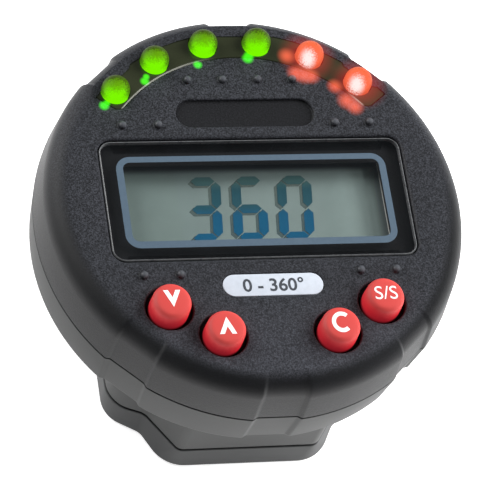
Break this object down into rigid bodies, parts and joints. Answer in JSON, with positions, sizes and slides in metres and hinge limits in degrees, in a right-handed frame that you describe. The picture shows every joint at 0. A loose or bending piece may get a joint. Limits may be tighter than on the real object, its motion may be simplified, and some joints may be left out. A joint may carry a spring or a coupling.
{
  "type": "digital torque angle gauge",
  "caption": "Round digital angle gauge with a display, an arc of signal lights and push keys, on a magnetic base that holds on a wrench while a bolt is turned.",
  "frame": {"origin": "centre of the base's underside, on the axis of the round head", "axes": "+Z out of the display face, +X to the right of the display, +Y towards the signal lights"},
  "size_m": [0.076, 0.0754, 0.0395],
  "materials": {
    "housing_black": "fine moulded grain on the face, satin walls",
    "lens_smoke": "smoked, polished",
    "led_green": "tinted epoxy, lit",
    "led_red": "tinted epoxy, lit",
    "window_clear": "clear, polished",
    "mask_black": "screen printed",
    "lcd_glass": "clear, grey-green",
    "reflector_grey": "matt",
    "holder_white": "moulded",
    "strip_rubber": "striped rubber",
    "board_green": "solder mask",
    "chip_black": "moulded",
    "plunger_white": "moulded",
    "can_metal": "bright",
    "cell_wrap": "plain foil sleeve",
    "contact_nickel": "nickel plated",
    "lead_red": "insulation",
    "lead_black": "insulation",
    "magnet_nickel": "nickel plated",
    "screw_steel": "zinc plated",
    "label_white": "printed film",
    "key_red": "satin"
  },
  "bodies": {
    "gauge": {"front_housing": "housing_black", "rear_housing": "housing_black", "base_cover": "housing_black", "led_lens": "lens_smoke", "green_led_1": "led_green", "green_led_2": "led_green", "green_led_3": "led_green", "green_led_4": "led_green", "red_led_1": "led_red", "red_led_2": "led_red", "display_window": "window_clear", "window_mask": "mask_black", "lcd_front_glass": "lcd_glass", "lcd_rear_glass": "lcd_glass", "lcd_reflector": "reflector_grey", "lcd_holder": "holder_white", "upper_contact_strip": "strip_rubber", "lower_contact_strip": "strip_rubber", "main_board": "board_green", "microcontroller": "chip_black", "gyro_sensor": "chip_black", "crystal": "can_metal", "capacitor": "can_metal", "buzzer": "chip_black", "battery_1": "cell_wrap", "battery_2": "cell_wrap", "positive_contact": "contact_nickel", "negative_contact": "contact_nickel", "bridge_contact": "contact_nickel", "terminal_spring": "contact_nickel", "bridge_spring": "contact_nickel", "positive_lead": "lead_red", "negative_lead": "lead_black", "magnet_1": "magnet_nickel", "magnet_2": "magnet_nickel", "shell_screws": "screw_steel", "cover_screws": "screw_steel", "board_screws": "screw_steel", "label": "label_white", "down_switch": "chip_black", "up_switch": "chip_black", "clear_switch": "chip_black", "start_switch": "chip_black"},
    "down_button": {"down_key": "key_red", "down_plunger": "plunger_white"},
    "up_button": {"up_key": "key_red", "up_plunger": "plunger_white"},
    "clear_button": {"clear_key": "key_red", "clear_plunger": "plunger_white"},
    "start_button": {"start_key": "key_red", "start_plunger": "plunger_white"}
  },
  "joints": [
    {"name": "down_press", "type": "slide", "parent": "gauge", "child": "down_button", "axis": [0, 0, -1], "range_m": [0, 0.0008], "stiffness_N_per_m": 2000},
    {"name": "up_press", "type": "slide", "parent": "gauge", "child": "up_button", "axis": [0, 0, -1], "range_m": [0, 0.0008], "stiffness_N_per_m": 2000},
    {"name": "clear_press", "type": "slide", "parent": "gauge", "child": "clear_button", "axis": [0, 0, -1], "range_m": [0, 0.0008], "stiffness_N_per_m": 2000},
    {"name": "start_press", "type": "slide", "parent": "gauge", "child": "start_button", "axis": [0, 0, -1], "range_m": [0, 0.0008], "stiffness_N_per_m": 2000}
  ]
}
